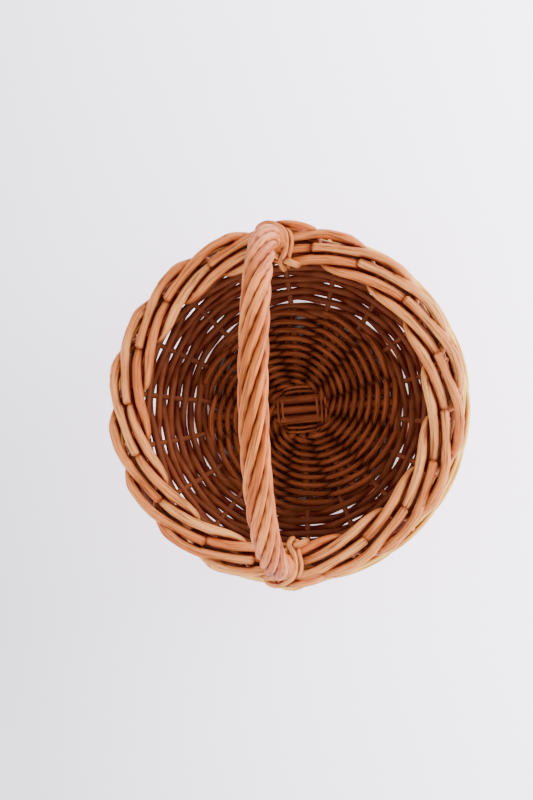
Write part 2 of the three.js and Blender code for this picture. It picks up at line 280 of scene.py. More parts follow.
class RodSkin(Nodes):
    """The geometry node tree that turns middle lines into willow rods.

    Each line's points carry the attributes girth and shade. The tree bends the lines slightly off
    their true course, sweeps a round section along them, and roughens the skin with shallow ridges
    along the rod. It leaves the attributes run, from_end, ring, shade, inward, upward and crease
    for the finishes to read.
    """

    INPUTS = (
        ("Geometry", "Geometry"), ("Sides", "Int"), ("Wander", "Float"), ("Ridges", "Float"),
        ("Seed", "Int"), ("Finish", "Material"),
    )
    # How fine each bend off the true course is, its share of the whole, and how much of it
    # differs from rod to rod. The spread sets rods of different shades apart in the pattern.
    BENDS = ((14.0, 0.7, 0.0), (38.0, 0.35, 1.0))
    SHADE_SPREAD = 7.0
    # The ridges: how many stand round the rod and along it, and how far they differ by shade.
    RIDGES_ROUND = 1.3
    RIDGES_ALONG = 45.0
    RIDGES_OWN = 90.0
    # The search for close neighbours: how far it goes, where it starts, and its tilts.
    CREASE_REACH = 6.0 * MM
    CREASE_START = 0.05 * MM
    CREASE_TILTS = ((0.0, 0.0, 0.0), (0.0, 0.0, 0.7), (0.0, 0.0, -0.7))
    CREASE_SHARE = 0.5
    CREASE_SOFTENING = 2

    def __init__(self) -> None:
        """Starts the tree with its inputs, its output and the two fields that most steps read."""
        super().__init__(bpy.data.node_groups.new("rod_skin", "GeometryNodeTree"))
        face = self.tree.interface
        for name, kind in self.INPUTS:
            face.new_socket(name=name, in_out="INPUT", socket_type="NodeSocket" + kind)
        face.new_socket(name="Geometry", in_out="OUTPUT", socket_type="NodeSocketGeometry")
        self.start = self.add("NodeGroupInput").outputs
        self.place = self.add("GeometryNodeInputPosition").outputs["Position"]
        self.normal = self.add("GeometryNodeInputNormal").outputs["Normal"]

    def read(self, name: str, kind: str = "FLOAT") -> Socket:
        """Reads a named attribute."""
        node = self.add("GeometryNodeInputNamedAttribute", {"Name": name}, data_type=kind)
        return node.outputs["Attribute"]

    def store(self, geometry: Socket, name: str, value: Socket, kind: str = "FLOAT") -> Socket:
        """Stores a value on each point.

        Args:
            geometry: The curve or mesh.
            name: The attribute's name.
            value: The value.
            kind: The type of the attribute.

        Returns:
            The geometry.
        """
        inputs = {"Geometry": geometry, "Name": name, "Value": value}
        node = self.add("GeometryNodeStoreNamedAttribute", inputs, data_type=kind, domain="POINT")
        return node.outputs["Geometry"]

    def moved(self, geometry: Socket, offset: Socket) -> Socket:
        """Moves each point and gives the geometry on."""
        inputs = {"Geometry": geometry, "Offset": offset}
        return self.add("GeometryNodeSetPosition", inputs).outputs["Geometry"]

    def measured(self, curve: Socket) -> Socket:
        """Stores how far each point lies along its rod, and how far from the nearer end.

        Args:
            curve: The rods' middle lines.

        Returns:
            The lines.
        """
        run = self.add("GeometryNodeSplineParameter").outputs["Length"]
        curve = self.store(curve, "run", run)
        whole = self.add("GeometryNodeSplineLength").outputs["Length"]
        rest = self.math("SUBTRACT", whole, self.read("run"))
        return self.store(curve, "from_end", self.math("MINIMUM", self.read("run"), rest))

    def bent(self, curve: Socket) -> Socket:
        """Bends the lines slightly off their true course.

        Args:
            curve: The rods' middle lines.

        Returns:
            The bent lines.
        """
        seed = self.join(self.start["Seed"])
        shade = self.join(y=self.math("MULTIPLY", self.read("shade"), self.SHADE_SPREAD))
        for fineness, share, own in self.BENDS:
            spot = self.vector("ADD", self.vector("SCALE", self.place, fineness), seed)
            spot = self.vector("ADD", spot, self.vector("SCALE", shade, own))
            cloud = self.noise(spot, 1.0).outputs["Color"]
            off = self.vector("SUBTRACT", cloud, (0.5, 0.5, 0.5))
            reach = self.math("MULTIPLY", self.start["Wander"], share * 2.0)
            curve = self.moved(curve, self.vector("SCALE", off, reach))
        return curve

    def swept(self, curve: Socket) -> Socket:
        """Sweeps a round section along the lines, as thick as each point's girth.

        Args:
            curve: The rods' middle lines.

        Returns:
            The rods' mesh.
        """
        circle = self.add(
            "GeometryNodeCurvePrimitiveCircle", {"Resolution": self.start["Sides"], "Radius": 1.0}
        ).outputs["Curve"]
        factor = self.add("GeometryNodeSplineParameter").outputs["Factor"]
        turn = self.math("MULTIPLY", factor, 2 * math.pi)
        ring = self.join(self.math("COSINE", turn), self.math("SINE", turn))
        profile = self.store(circle, "ring", ring, "FLOAT_VECTOR")
        return self.add(
            "GeometryNodeCurveToMesh",
            {"Curve": curve, "Profile Curve": profile, "Scale": self.read("girth"),
             "Fill Caps": True},
        ).outputs["Mesh"]

    def ridged(self, mesh: Socket) -> Socket:
        """Roughens the skin with shallow ridges.

        Args:
            mesh: The rods.

        Returns:
            The roughened rods.
        """
        far = self.math("ADD", self.math("MULTIPLY", self.read("run"), self.RIDGES_ALONG),
                        self.math("MULTIPLY", self.read("shade"), self.RIDGES_OWN))
        wide = self.vector("SCALE", self.read("ring", "FLOAT_VECTOR"), self.RIDGES_ROUND)
        cloud = self.noise(self.vector("ADD", wide, self.join(z=far)), 2.0).outputs[0]
        lift = self.math("MULTIPLY", self.math("SUBTRACT", cloud, 0.5), self.start["Ridges"])
        return self.moved(mesh, self.vector("SCALE", self.normal, lift))

    def creases(self, mesh: Socket) -> Socket:
        """Measures how close another rod lies in front of each point of the skin.

        Args:
            mesh: The rods.

        Returns:
            A share from 0, open, upwards to 1 and more, touching.
        """
        start = self.vector("ADD", self.place, self.vector("SCALE", self.normal, self.CREASE_START))
        total = None
        for tilt in self.CREASE_TILTS:
            ray = self.add(
                "GeometryNodeRaycast",
                {0: mesh, "Source Position": start, "Ray Length": self.CREASE_REACH,
                 "Ray Direction": self.vector("ADD", self.normal, tilt)},
            ).outputs
            gone = self.math("DIVIDE", ray["Hit Distance"], self.CREASE_REACH)
            near = self.math("MULTIPLY", self.math("SUBTRACT", 1.0, gone), ray["Is Hit"])
            total = near if total is None else self.math("ADD", total, near)
        return self.math("MULTIPLY", total, self.CREASE_SHARE)

    def surveyed(self, mesh: Socket) -> Socket:
        """Stores which way the skin faces and how close its neighbours lie.

        Args:
            mesh: The rods.

        Returns:
            The rods.
        """
        flat = self.vector("MULTIPLY", self.place, (-1.0, -1.0, 0.0))
        inward = self.vector("NORMALIZE", flat, (0.0, 0.0, 0.0))
        mesh = self.store(mesh, "inward", self.vector("DOT_PRODUCT", inward, self.normal))
        upward = self.vector("DOT_PRODUCT", self.normal, (0.0, 0.0, 1.0))
        mesh = self.store(mesh, "upward", upward)
        mesh = self.store(mesh, "crease", self.creases(mesh))
        inputs = {0: self.read("crease"), 1: self.CREASE_SOFTENING}
        soft = self.add("GeometryNodeBlurAttribute", inputs).outputs[0]
        return self.store(mesh, "crease", soft)

    def build(self) -> bpy.types.NodeTree:
        """Puts the steps together, and ends with Realize Instances and Set Material.

        Returns:
            The tree.
        """
        lines = self.add("GeometryNodeMeshToCurve", {"Mesh": self.start["Geometry"]})
        curve = self.bent(self.measured(lines.outputs["Curve"]))
        mesh = self.surveyed(self.ridged(self.swept(curve)))
        smooth = self.add("GeometryNodeSetShadeSmooth", {"Geometry": mesh})
        real = self.add("GeometryNodeRealizeInstances", {"Geometry": smooth.outputs["Geometry"]})
        dressed = self.add(
            "GeometryNodeSetMaterial",
            {"Geometry": real.outputs["Geometry"], "Material": self.start["Finish"]},
        )
        self.add("NodeGroupOutput", {"Geometry": dressed.outputs["Geometry"]})
        return self.tree


class SkinPaint(Nodes):
    """A willow finish's shader nodes under construction."""

    # Sets rods of different shades apart in the patterns.
    SHADE_SPREAD = 61.0

    def __init__(self, material: bpy.types.Material) -> None:
        """Takes the material, and reads the attributes that every pattern follows.

        Args:
            material: The material to paint.
        """
        super().__init__(material.node_tree)
        self.shader = material.node_tree.nodes["Principled BSDF"]
        self.ring = self.add("ShaderNodeAttribute", attribute_name="ring").outputs["Vector"]
        self.run, self.shade = self.attribute("run"), self.attribute("shade")
        self.own = self.math("MULTIPLY", self.shade, self.SHADE_SPREAD)

    def attribute(self, name: str) -> Socket:
        """Reads one of the rods' attributes as a number."""
        return self.add("ShaderNodeAttribute", attribute_name=name).outputs["Fac"]

    def blend(self, share: object, a: object, b: object, mode: str = "MIX") -> Socket:
        """Mixes two colours."""
        inputs = {0: share, 6: a, 7: b}
        return self.add("ShaderNodeMix", inputs, data_type="RGBA", blend_type=mode).outputs[2]

    def on_skin(self, around: float, along: float) -> Socket:
        """Gives coordinates on the rods' skin.

        Args:
            around: How finely a pattern goes round a rod.
            along: How finely it goes along the rod.

        Returns:
            The coordinates, which differ from rod to rod.
        """
        far = self.math("ADD", self.math("MULTIPLY", self.run, along), self.own)
        return self.vector("ADD", self.vector("SCALE", self.ring, around), self.join(z=far))


@dataclass(frozen=True)
class WillowFinish:
    """Stripped willow skin: its colours, how strongly each effect shows, and how smooth it is."""

    name: str
    pale: Triple
    warm: Triple
    # brown colours the streaks and knots, and is also the painted shade in creases and on sides.
    brown: Triple
    # The colours of painted shade: inside the basket, and in the hollows under the border.
    indoor_shade: Triple = (0.42, 0.122, 0.047)
    hollow_shade: Triple = (0.13, 0.032, 0.011)
    rough: float = 0.62
    specular: float = 0.15
    streaks: float = 0.85
    spots: float = 0.7
    # Depths of the painted shade inside the basket, in creases and on the rods' sides, and of the
    # darkened cut ends; then the painted shadow under the border, with the heights in metres where
    # it fades in from below and out towards the rim.
    inner_shade: float = 1.0
    shade_and_end_depth: float = 1.0
    flank_shade: float = 0.35
    cut_ends: float = 0.7
    border_shadow: float = 0.9
    border_shadow_from: Band = (0.110, 0.116)
    border_shadow_to: Band = (0.1275, 0.1215)

    # Each pattern's fineness round the rod and along it.
    STREAK_SCALE = (2.9, 42.0)
    CLOUD_SCALE = (0.6, 16.0)
    KNOT_SCALE = (0.6, 100.0)
    # The values between which each effect goes from nothing to full. Heights above the floor and
    # distances from a rod's end are in metres, and the others have no unit.
    STREAK_BAND = (0.48, 0.68)
    CLOUD_BAND = (0.42, 0.66)
    KNOT_BAND = (0.24, 0.10)
    RARE_BAND = (0.92, 0.93)
    # INDOOR_BAND, FOOT_HEIGHTS and MOUTH_HEIGHTS place the painted shade inside the basket,
    # NOT_OUTSIDE_BAND keeps the painted shadow under the border off the outside, and FLANK_BAND and
    # CREASE_BAND place the painted shade on the rods' sides and in creases.
    INDOOR_BAND = (-0.25, 0.35)
    FOOT_HEIGHTS = (0.10, 0.07)
    MOUTH_HEIGHTS = (0.124, 0.112)
    NOT_OUTSIDE_BAND = (-0.98, -0.82)
    FLANK_BAND = (0.9, 0.1)
    CUT_LENGTHS = (0.0036, 0.0008)
    CREASE_BAND = (0.0, 0.5)
    # Shares: the rod's shade and its clouds in the tone, how much the foot counts as inside for the
    # painted shade inside the basket, and the depth of that painted shade's colour in clouds and in
    # streaks.
    SHADE_IN_TONE = 0.7
    CLOUD_IN_TONE = 0.7
    FOOT_INDOORS = 0.7
    INDOOR_CLOUD = 0.72
    INDOOR_STREAK = 0.55
    # How the streaks roughen and raise the skin.
    STREAK_ROUGHNESS = 0.3
    STREAK_RELIEF = 0.5
    BUMP_STRENGTH = 0.6
    BUMP_HEIGHT = 0.7 * MM

    def _knots(self, paint: SkinPaint) -> Socket:
        """Gives the rare small knots.

        Args:
            paint: The shader nodes.

        Returns:
            A share from 0, plain skin, to 1, a knot.
        """
        cells = paint.add("ShaderNodeTexVoronoi",
                          {"Vector": paint.on_skin(*self.KNOT_SCALE), "Scale": 1.0}).outputs
        rare = paint.rise(paint.part(cells["Color"], "X"), self.RARE_BAND)
        return paint.math("MULTIPLY", paint.rise(cells["Distance"], self.KNOT_BAND), rare)

    def _painted_indoor_shade(self, paint: SkinPaint, colour: Socket, tone: Socket, lines: Socket,
                      height: Socket) -> Socket:
        """Paints brown shade onto the side of each rod that faces the inside of the basket.

        Args:
            paint: The shader nodes.
            colour: The colour so far.
            tone: How dark the skin is, as a share.
            lines: How strong its streaks are, as a share.
            height: The height above the floor.

        Returns:
            The new colour.
        """
        foot = paint.math("MULTIPLY", paint.rise(height, self.FOOT_HEIGHTS), self.FOOT_INDOORS)
        facing = paint.math("ADD", paint.attribute("inward"), foot)
        indoors = paint.math("MULTIPLY", paint.rise(facing, self.INDOOR_BAND),
                             paint.rise(height, self.MOUTH_HEIGHTS))
        dark = paint.blend(tone, opaque(self.indoor_shade), opaque(self.indoor_shade, self.INDOOR_CLOUD))
        dark = paint.blend(lines, dark, opaque(self.indoor_shade, self.INDOOR_STREAK))
        return paint.blend(paint.math("MULTIPLY", indoors, self.inner_shade), colour, dark)

    def _painted_border_shadow(self, paint: SkinPaint, colour: Socket, height: Socket) -> Socket:
        """Paints shadow into the hollows under the border, but not onto the outside of the wall.

        Args:
            paint: The shader nodes.
            colour: The colour so far.
            height: The height above the floor.

        Returns:
            The new colour.
        """
        under = paint.math("MULTIPLY", paint.rise(height, self.border_shadow_from),
                           paint.rise(height, self.border_shadow_to))
        behind = paint.rise(paint.attribute("inward"), self.NOT_OUTSIDE_BAND)
        under = paint.math("MULTIPLY", under, behind)
        share = paint.math("MULTIPLY", under, self.border_shadow)
        return paint.blend(share, colour, opaque(self.hollow_shade))

    def _painted_shade_and_dark_ends(self, paint: SkinPaint, colour: Socket) -> Socket:
        """Paints shade into creases between rods and onto their sides, and darkens their cut ends.

        Args:
            paint: The shader nodes.
            colour: The colour so far.

        Returns:
            The new colour.
        """
        flank = paint.math("MULTIPLY", paint.rise(paint.attribute("upward"), self.FLANK_BAND),
                           self.flank_shade)
        cut = paint.math("MULTIPLY", paint.rise(paint.attribute("from_end"), self.CUT_LENGTHS),
                         self.cut_ends)
        crease = paint.rise(paint.attribute("crease"), self.CREASE_BAND)
        deep = paint.math("MAXIMUM", paint.math("MAXIMUM", crease, flank), cut)
        share = paint.math("MULTIPLY", deep, self.shade_and_end_depth)
        return paint.blend(share, colour, opaque(self.brown), "MULTIPLY")

    def material(self) -> bpy.types.Material:
        """Builds the material: streaks, cloudy patches, knots, painted shade and a satin skin.

        Returns:
            The material.
        """
        made = bpy.data.materials.new(self.name)
        made.use_nodes = True
        paint = SkinPaint(made)
        streak = paint.noise(paint.on_skin(*self.STREAK_SCALE), 4.0, 0.6).outputs[0]
        cloud = paint.noise(paint.on_skin(*self.CLOUD_SCALE), 3.0).outputs[0]
        spot = self._knots(paint)
        clouds = paint.math("MULTIPLY", paint.rise(cloud, self.CLOUD_BAND), self.CLOUD_IN_TONE)
        shade = paint.math("MULTIPLY", paint.shade, self.SHADE_IN_TONE)
        tone = paint.math("ADD", shade, clouds, clamp=True)
        lines = paint.math("MULTIPLY", paint.rise(streak, self.STREAK_BAND), self.streaks)
        height = paint.part(paint.add("ShaderNodeTexCoord").outputs["Object"], "Z")
        colour = paint.blend(tone, opaque(self.pale), opaque(self.warm))
        colour = paint.blend(lines, colour, opaque(self.brown))
        colour = paint.blend(paint.math("MULTIPLY", spot, self.spots), colour, opaque(self.brown))
        # Painted shade inside the basket, then the painted shadow under the border and the painted
        # shade in creases and on the rods' sides.
        colour = self._painted_indoor_shade(paint, colour, tone, lines, height)
        colour = self._painted_shade_and_dark_ends(paint, self._painted_border_shadow(paint, colour, height))
        grain = paint.math("MULTIPLY", streak, self.STREAK_ROUGHNESS)
        rough = paint.math("ADD", grain, self.rough - self.STREAK_ROUGHNESS / 2)
        relief = paint.math("SUBTRACT", paint.math("MULTIPLY", streak, self.STREAK_RELIEF), spot)
        bump = paint.add("ShaderNodeBump", {"Height": relief, "Strength": self.BUMP_STRENGTH,
                                            "Distance": self.BUMP_HEIGHT})
        paint.fill(paint.shader, {"Base Color": colour, "Roughness": rough,
                                  "Normal": bump.outputs["Normal"],
                                  "Specular IOR Level": self.specular})
        return made


class Wood(Enum):
    """The basket's willow: a finish for each part, with its own tones and painted shade."""

    BORDER = WillowFinish(
        "border_willow", (1.0, 0.43, 0.13), (0.68, 0.175, 0.038), (0.18, 0.037, 0.008)
    )
    HANDLE = WillowFinish(
        "handle_willow", (0.92, 0.31, 0.07), (0.54, 0.125, 0.02), (0.16, 0.031, 0.007),
        inner_shade=0.0, border_shadow=0.0,
    )
    SIDE = WillowFinish(
        "side_willow", (1.0, 0.69, 0.12), (0.90, 0.50, 0.075), (0.40, 0.12, 0.03),
        flank_shade=0.15, border_shadow=1.0, border_shadow_from=(0.104, 0.112), border_shadow_to=(0.14, 0.139),
    )
    # The base's tones are darker than the border's: partly the willow's own browner tone, partly
    # painted shade for the floor of the basket.
    BASE = WillowFinish(
        "base_willow", (0.78, 0.225, 0.078), (0.45, 0.118, 0.038), (0.15, 0.036, 0.012),
        inner_shade=0.0, shade_and_end_depth=0.85, flank_shade=0.2, border_shadow=0.0,
    )


class Loom:
    """Turns rods into finished pieces, and hides the frame's parts that each piece stands in for.
    """

    def __init__(self) -> None:
        """Builds the shared tree and the finishes once."""
        self.tree = RodSkin().build()
        self.inputs = {
            item.name: item.identifier
            for item in self.tree.interface.items_tree
            if item.in_out == "INPUT"
        }
        self.finishes = {wood: wood.value.material() for wood in Wood}

    @staticmethod
    def lines(name: str, rods: list[Rod]) -> bpy.types.Mesh:
        """Draws the rods' middle lines, with each point's girth and shade.

        Args:
            name: The piece's name.
            rods: The rods.

        Returns:
            A mesh of edges.
        """
        lines = bpy.data.meshes.new(name + "_lines")
        points = [p for rod in rods for p in rod.line]
        edges, start = [], 0
        for rod in rods:
            edges += [(start + i, start + i + 1) for i in range(len(rod.line) - 1)]
            start += len(rod.line)
        lines.from_pydata(points, edges, [])
        girths = [g for rod in rods for g in rod.girths]
        shades = [rod.shade for rod in rods for _ in rod.line]
        for key, values in (("girth", girths), ("shade", shades)):
            lines.attributes.new(key, "FLOAT", "POINT").data.foreach_set("value", values)
        return lines

    def weave(self, name: str, rods: list[Rod], wood: Wood, nodes: list[str],
              sides: int = 12, wander: float = 0.4 * MM, ridges: float = 0.35 * MM,
              seed: int = 1) -> None:
        """Makes one piece from rods and puts it in place of its nodes.

        Args:
            name: The piece's name.
            rods: The piece's rods.
            wood: The finish.
            nodes: The frame's nodes that the piece stands for.
            sides: Faces round each rod.
            wander: How far the rods stray from their true course.
            ridges: Height of the unevenness of their skin.
            seed: Chooses the wandering.
        """
        guide = bpy.data.objects.new(name + "_guide", self.lines(name, rods))
        bpy.context.scene.collection.objects.link(guide)
        skin = guide.modifiers.new("skin", "NODES")
        skin.node_group = self.tree
        for key, value in (("Sides", sides), ("Wander", wander), ("Ridges", ridges),
                           ("Seed", seed), ("Finish", self.finishes[wood])):
            skin[self.inputs[key]] = value
        graph = bpy.context.evaluated_depsgraph_get()
        mesh = bpy.data.meshes.new_from_object(guide.evaluated_get(graph), depsgraph=graph)
        mesh.name = name
        bpy.data.objects.remove(guide)
        piece = bpy.data.objects.new(name, mesh)
        bpy.context.scene.collection.objects.link(piece)
        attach(piece, "root")
        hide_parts(*nodes)
        LOG.info("%s: %d rods, %d faces", name, len(rods), len(mesh.polygons))


@dataclass
class Wall:
    """The middle line of the basket's wall, from the foot to the border, and its stations."""

    foot_radius: float = 84 * MM
    belly_radius: float = 142 * MM
    belly_height: float = 82 * MM
    rim_radius: float = 124.5 * MM
    rim_height: float = 131 * MM
    border_drop: float = 8 * MM
    base_height: float = 8.45 * MM
    stations: int = 18
    stick_turn: float = 4.0
    first_stake: float = 14.0
    foot_hold: float = 0.45
    foot_rise: float = 2 * MM
    belly_hold: float = 0.4
    shoulder_hold: float = 0.5
    neck_out: float = 7 * MM
    neck_down: float = 9 * MM
    samples: int = 200
    spacing: float = 0.5 * MM
    length: float = field(init=False, default=0.0)
    _line: list[Band] = field(init=False, default_factory=list)

    def __post_init__(self) -> None:
        """Samples the two curves of the wall, below and above its belly, at even distances."""
        neck = self.rim_height - self.border_drop
        low = (
            (self.foot_radius, self.base_height),
            (mix(self.foot_radius, self.belly_radius, self.foot_hold),
             self.base_height + self.foot_rise),
            (self.belly_radius, mix(self.base_height, self.belly_height, self.belly_hold)),
            (self.belly_radius, self.belly_height),
        )
        high = (
            low[3],
            (self.belly_radius, mix(self.belly_height, neck, self.shoulder_hold)),
            (self.rim_radius + self.neck_out, neck - self.neck_down),
            (self.rim_radius, neck),
        )
        fine = [self._bezier(low, i / self.samples) for i in range(self.samples)]
        fine += [self._bezier(high, i / self.samples) for i in range(self.samples + 1)]
        spaced = evenly([Vector((r, 0, z)) for r, z in fine], self.spacing)
        self._line = [(p.x, p.z) for p in spaced]
        self.length = sum((b - a).length for a, b in zip(spaced, spaced[1:]))

    @staticmethod
    def _bezier(points: tuple[Band, ...], t: float) -> Band:
        """Gives a point of a cubic curve."""
        weights = ((1 - t) ** 3, 3 * t * (1 - t) ** 2, 3 * t * t * (1 - t), t**3)
        return tuple(sum(w * p[k] for w, p in zip(weights, points)) for k in (0, 1))

    def _at(self, share: float) -> Band:
        """Finds a place on the wall's middle line.

        Args:
            share: The share of the wall's length, from the foot.

        Returns:
            The distance from the axis, and the height.
        """
        place = min(max(share, 0.0), 1.0) * (len(self._line) - 1)
        i = min(int(place), len(self._line) - 2)
        a, b = self._line[i], self._line[i + 1]
        return mix(a[0], b[0], place - i), mix(a[1], b[1], place - i)

    def radius(self, along: float) -> float:
        """Gives the distance from the axis, a distance along the wall from the foot."""
        return self._at(along / self.length)[0]

    def point(self, degrees: float, along: float, offset: float = 0.0) -> Vector:
        """Gives a point of the wall.

        Args:
            degrees: The angle about the basket's axis.
            along: Distance from the foot, up the wall.
            offset: Distance outwards, across the wall.

        Returns:
            The point.
        """
        share = along / self.length
        radius, height = self._at(share)
        r0, z0 = self._at(share - GLANCE)
        r1, z1 = self._at(share + GLANCE)
        run = math.hypot(r1 - r0, z1 - z0)
        return polar(degrees, radius + offset * (z1 - z0) / run, height - offset * (r1 - r0) / run)

    def station(self, index: float) -> float:
        """Gives the angle of a stake."""
        return self.first_stake + 360 / self.stations * index


@dataclass(frozen=True)
class BowLegs:
    """How the handle's bow stands inside the wall, which the rows of the wall have to clear."""

    girth: float = 3.8 * MM
    offset: float = 1.6 * MM
    bottom: float = 48 * MM
    angles: tuple[int, int] = (90, 270)


@dataclass
class Base:
    """The woven base: six sticks crossed three over three, bound, spread and woven round."""

    wall: Wall
    stick: float = 3.95 * MM
    stick_ends: int = 12
    pierced_pitch: float = 8.5 * MM
    passing_pitch: float = 8.2 * MM
    stick_step: float = 2.4 * MM
    over_share: float = 1.06
    under_share: float = 0.94
    hump: float = 3.0 * MM
    dip: float = 4.5 * MM
    spread_from: float = 21.5 * MM
    spread_to: float = 33 * MM
    tip: float = 82 * MM
    single_tip: float = 72 * MM
    binder: float = 1.35 * MM
    bind_from: float = 14.8 * MM
    bind_pitch: float = 3.5 * MM
    bind_stagger: float = 0.5 * MM
    bind_sides: int = 9
    bind_step: float = 1.6 * MM
    weave_from: float = 23.6 * MM
    weave_to: float = 88 * MM
    weave_step: float = 2.2 * MM
    first_pitch: float = 5.6 * MM
    last_pitch: float = 8.2 * MM
    first_girth: float = 2.05 * MM
    last_girth: float = 2.45 * MM
    press: float = 0.2 * MM
    sway: float = 1.05
    squareness: float = 0.3
    swell: float = 0.10
    seed: int = 11

    # A stick near the crossing: millimetres out from it, and the share of its hump or dip.
    CROSSING = ((6, 1.0), (13, 0.8), (22, 0.0))
    # One side of a round of binding: millimetres across the crossing and outwards, and its
    # share of the rise over the sticks.
    BIND_SIDE = ((-12.8, 0, 0.1), (-8.7, 0.6, 0.9), (0, 1.2, 1.0), (8.7, 0.6, 0.9), (12.8, 0, 0.1))

    def angle(self, end: int) -> float:
        """Gives the angle of one end of a stick."""
        return self.wall.stick_turn + 360 / self.stick_ends * end

    def _half(self, end: int, sideways: float, lift: float) -> Path:
        """Gives half of a stick's line, from the crossing outwards.

        Args:
            end: Which end of a stick it is.
            sideways: How far beside its group's middle the stick crosses.
            lift: How far it rises at the crossing.

        Returns:
            The line's points.
        """
        axis, height = self.angle(3 * round(end / 3)), self.wall.base_height
        across = polar(axis + 90, sideways, 0)
        tip = self.tip if end % 2 == 0 else self.single_tip
        return [
            *(polar(axis, along * MM, height + lift * share) + across
              for along, share in self.CROSSING),
            polar(axis, self.spread_from, height) + across,
            polar(self.angle(end), self.spread_to, height),
            polar(self.angle(end), mix(self.spread_to, tip, 0.5), height),
            polar(self.angle(end), tip, height),
        ]

    def _stick(self, end: int, pitch: float, lift: float) -> Path:
        """Gives a whole stick's line, from its far end to the end asked for.

        Args:
            end: Which end of a stick it is.
            pitch: The distance between the sticks of its group.
            lift: How far it rises at the crossing.

        Returns:
            The line.
        """
        group = 3 * round(end / 3)
        sideways = (end - group) * pitch
        far = 2 * group + self.stick_ends // 2 - end
        away = self._half(far, -sideways, lift)
        return smooth_line([*reversed(away), *self._half(end, sideways, lift)], self.stick_step)

    def sticks(self, rng: random.Random) -> list[Rod]:
        """Makes the three pierced sticks, which pass over the others, and the three beneath.

        Args:
            rng: Chooses the rods' shades.

        Returns:
            The six sticks.
        """
        rods = []
        for ends, pitch, lift, thick in (
            ((-1, 0, 1), self.pierced_pitch, self.hump, self.over_share),
            ((2, 3, 4), self.passing_pitch, -self.dip, self.under_share),
        ):
            for end in ends:
                line = self._stick(end, pitch, lift)
                rods.append(Rod.of(line, self.stick * thick, rng.random()))
        return rods

    def binders(self, rng: random.Random) -> list[Rod]:
        """Makes the two thin rods wound round the crossing, one over where the other is under.

        Args:
            rng: Chooses the rods' shades.

        Returns:
            The two rods.
        """
        rods = []
        reach = self.stick + self.binder
        for phase in (0, 1):
            points: Path = []
            for side in range(self.bind_sides):
                out = self.bind_from + self.bind_pitch * (side // 4) + self.bind_stagger * phase
                over = 1 if (side + phase) % 2 == 0 else -1
                axis = self.wall.stick_turn + 90 * side
                for across, bow, lift in self.BIND_SIDE:
                    height = self.wall.base_height + over * lift * reach
                    spot = polar(axis, out + bow * MM, height)
                    points.append(spot + polar(axis + 90, across * MM, 0))
            line = smooth_line(points, self.bind_step)
            rods.append(Rod.of(line, self.binder, rng.random()))
        return rods

    def pairing(self, rng: random.Random) -> list[Rod]:
        """Makes the two rods that twist round each other past every stick, out to the foot.

        Args:
            rng: Chooses the rods' shades.

        Returns:
            The two rods.
        """
        step = 360 / self.stick_ends
        rods = []
        for side in (1, -1):
            points: Path = []
            girths: list[float] = []
            radius, turn = self.weave_from, 0.0
            while radius < self.weave_to:
                share = (radius - self.weave_from) / (self.weave_to - self.weave_from)
                girth = mix(self.first_girth, self.last_girth, share)
                pitch = mix(self.first_pitch, self.last_pitch, share)
                phase = math.pi * turn / step
                rise = side * (self.stick + girth - self.press) * math.cos(phase)
                sway = side * girth * self.sway * math.sin(phase)
                sway *= abs(math.sin(phase)) ** self.squareness
                points.append(polar(self.wall.stick_turn + turn, radius + sway,
                                    self.wall.base_height + rise))
                girths.append(girth * (1.0 + self.swell * abs(math.cos(phase))))
                turn += math.degrees(self.weave_step / radius)
                radius += pitch * self.weave_step / (2 * math.pi * radius)
            rods.append(Rod(points, girths, rng.random()).rounded())
        return rods

    def build(self, loom: Loom) -> None:
        """Makes the base's three pieces.

        Args:
            loom: Makes and dresses each piece.
        """
        rng = random.Random(self.seed)
        sides = ("left", "middle", "right")
        nodes = [f"{kind}_base_stick_{side}" for kind in ("pierced", "passing") for side in sides]
        loom.weave("base_sticks", self.sticks(rng), Wood.BASE, nodes,
                   wander=0.3 * MM, seed=3)
        loom.weave("slath_binding", self.binders(rng), Wood.BASE,
                   ["slath_binder_first", "slath_binder_second"], sides=10, wander=0.2 * MM,
                   ridges=0.1 * MM, seed=4)
        loom.weave("base_pairing", self.pairing(rng), Wood.BASE,
                   ["base_weaver_inner", "base_weaver_outer"], sides=10, wander=0.7 * MM,
                   ridges=0.3 * MM, seed=5)


